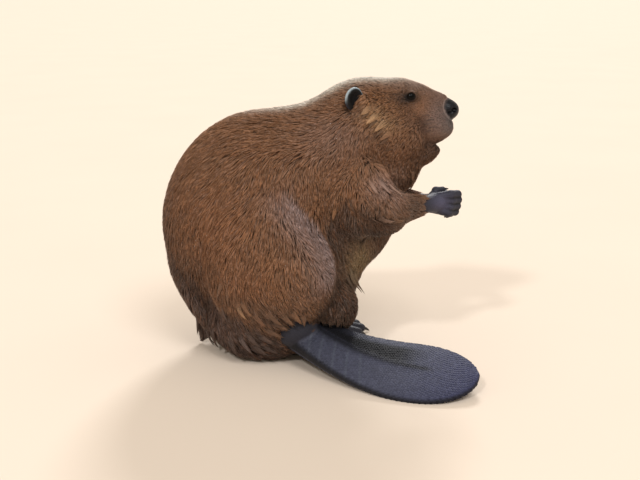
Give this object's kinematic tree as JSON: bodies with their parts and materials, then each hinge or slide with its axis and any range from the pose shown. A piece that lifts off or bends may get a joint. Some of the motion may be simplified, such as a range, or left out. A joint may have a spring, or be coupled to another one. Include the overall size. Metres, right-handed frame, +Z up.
{
  "type": "beaver",
  "caption": "A still, life-size beaver sitting up on its haunches, forepaws raised and closed, with its flat scaly tail laid forward on the floor.",
  "frame": {"origin": "the middle of the seat: the point on the floor, on the body's middle plane, where the rump rests", "axes": "+Z up from the floor, +X forward to the nose, +Y to the animal's left"},
  "size_m": [0.4366, 0.3596, 0.3935],
  "materials": {
    "coat": "long brown guard hairs over dense underfur, paler and greyer on the flank",
    "face_coat": "short warm brown fur, greyer on the muzzle",
    "hide": "bare dark grey skin of hands, feet and ears, dull",
    "tail_hide": "blue-grey leathery scales, dull with a soft shine",
    "horn": "dark horn claws, satin",
    "nose_pad": "moist black nose leather",
    "eye": "dark glossy eye"
  },
  "bodies": {
    "root": {"ear_left": "hide", "ear_right": "hide", "eye_left": "eye", "eye_right": "eye", "foot_claw_1_left": "horn", "foot_claw_1_right": "horn", "foot_claw_2_left": "horn", "foot_claw_2_right": "horn", "foot_claw_3_left": "horn", "foot_claw_3_right": "horn", "foot_claw_4_left": "horn", "foot_claw_4_right": "horn", "foot_claw_5_left": "horn", "foot_claw_5_right": "horn", "foot_left": "hide", "foot_right": "hide", "forearm_left": "coat", "forearm_right": "coat", "hand_claw_1_left": "horn", "hand_claw_1_right": "horn", "hand_claw_2_left": "horn", "hand_claw_2_right": "horn", "hand_claw_3_left": "horn", "hand_claw_3_right": "horn", "hand_claw_4_left": "horn", "hand_claw_4_right": "horn", "hand_claw_5_left": "horn", "hand_claw_5_right": "horn", "hand_left": "hide", "hand_right": "hide", "head": "face_coat", "lower_jaw": "face_coat", "neck": "coat", "nose": "nose_pad", "shank_left": "coat", "shank_right": "coat", "tail": "tail_hide", "tail_base": "coat", "thigh_left": "coat", "thigh_right": "coat", "trunk": "coat", "upper_arm_left": "coat", "upper_arm_right": "coat"}
  },
  "joints": []
}
